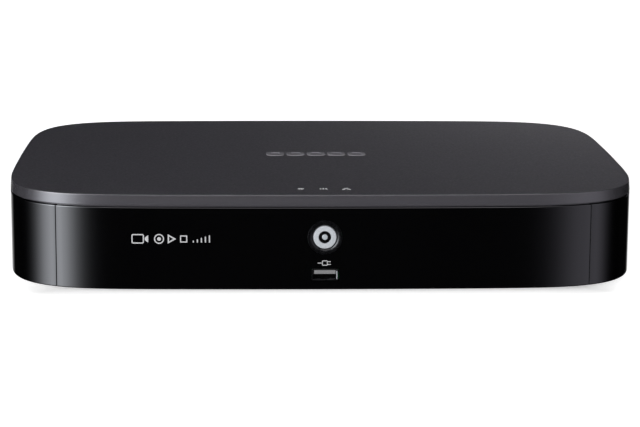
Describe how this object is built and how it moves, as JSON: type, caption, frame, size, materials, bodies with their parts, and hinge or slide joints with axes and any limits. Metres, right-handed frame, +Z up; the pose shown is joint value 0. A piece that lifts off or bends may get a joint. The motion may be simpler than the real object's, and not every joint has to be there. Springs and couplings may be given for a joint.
{
  "type": "desktop video recorder",
  "caption": "Flat desktop security video recorder: rounded casing, gloss front with a ring-shaped button and USB socket, rear video sockets, fan and hard drive inside.",
  "frame": {"origin": "middle of the whole object's footprint, on the surface that the feet stand on", "axes": "+Z up, the glossy front faces -Y, +X to the right of a person facing the front"},
  "size_m": [0.325, 0.257, 0.053],
  "materials": {
    "cover_satin": "fine-textured satin charcoal",
    "gloss_black": "piano-gloss black",
    "zinc_steel": "zinc plated",
    "panel_steel": "fine black powder coat",
    "foot_rubber": "matt",
    "clear_lens": "frosted white",
    "circuit_board": "green solder mask",
    "button_silver": "satin silver",
    "black_plastic": "moulded",
    "connector_metal": "nickel plated",
    "terminal_green": "moulded",
    "cast_aluminium": "cast",
    "polished_disc": "polished",
    "red_cable": "flexible",
    "yellow_cable": "flexible",
    "grey_cable": "flexible"
  },
  "bodies": {
    "root": {"alarm_terminal": "terminal_green", "audio_jacks": "black_plastic", "base_pan": "zinc_steel", "bnc_barrel_1": "connector_metal", "bnc_barrel_2": "connector_metal", "bnc_barrel_3": "connector_metal", "bnc_barrel_4": "connector_metal", "bnc_barrel_5": "connector_metal", "bnc_barrel_6": "connector_metal", "bnc_barrel_7": "connector_metal", "bnc_barrel_8": "connector_metal", "bnc_housing": "black_plastic", "button_bezel": "gloss_black", "button_switch": "black_plastic", "coin_cell": "connector_metal", "cover_screw_left": "zinc_steel", "cover_screw_right": "zinc_steel", "drive_power_cable": "yellow_cable", "drive_screw_1": "zinc_steel", "drive_screw_2": "zinc_steel", "drive_screw_3": "zinc_steel", "drive_screw_4": "zinc_steel", "fan_frame": "black_plastic", "foot_front_left": "foot_rubber", "foot_front_right": "foot_rubber", "foot_rear_left": "foot_rubber", "foot_rear_right": "foot_rubber", "front_board": "circuit_board", "front_fascia": "gloss_black", "front_panel_cable": "grey_cable", "front_usb_shell": "connector_metal", "front_usb_tongue": "black_plastic", "hdd_base": "cast_aluminium", "hdd_circuit_board": "circuit_board", "hdd_cover": "connector_metal", "hdmi_port": "connector_metal", "heat_sink": "cast_aluminium", "lan_port": "connector_metal", "led_board": "circuit_board", "led_lens_disk": "clear_lens", "led_lens_network": "clear_lens", "led_lens_power": "clear_lens", "main_board": "circuit_board", "power_jack": "black_plastic", "processor": "black_plastic", "rear_panel": "panel_steel", "rear_usb_shell": "connector_metal", "rear_usb_tongue": "black_plastic", "sata_data_cable": "red_cable", "side_wall_left": "gloss_black", "side_wall_right": "gloss_black", "top_cover": "cover_satin", "vga_port": "connector_metal"},
    "power_button": {"button_cap": "button_silver", "button_core": "black_plastic", "button_lens": "clear_lens", "switch_plunger": "black_plastic"},
    "fan_impeller": {"fan_rotor": "black_plastic"},
    "disc_stack": {"hdd_platters": "polished_disc"},
    "head_arm": {"hdd_head_arm": "cast_aluminium"}
  },
  "joints": [
    {"name": "power_button_press", "type": "slide", "parent": "root", "child": "power_button", "axis": [0, 1, 0], "range_m": [0, 0.0008], "stiffness_N_per_m": 400},
    {"name": "fan_spin", "type": "hinge", "parent": "root", "child": "fan_impeller", "pos_m": [0.094, 0.099, 0.027], "axis": [0, 1, 0], "continuous": true},
    {"name": "disc_spin", "type": "hinge", "parent": "root", "child": "disc_stack", "pos_m": [-0.0842, -0.059, 0.0143], "axis": [0, 0, 1], "continuous": true},
    {"name": "head_arm_swing", "type": "hinge", "parent": "root", "child": "head_arm", "pos_m": [-0.057, -0.012, 0.0143], "axis": [0, 0, 1], "range_deg": [0, 33]}
  ]
}
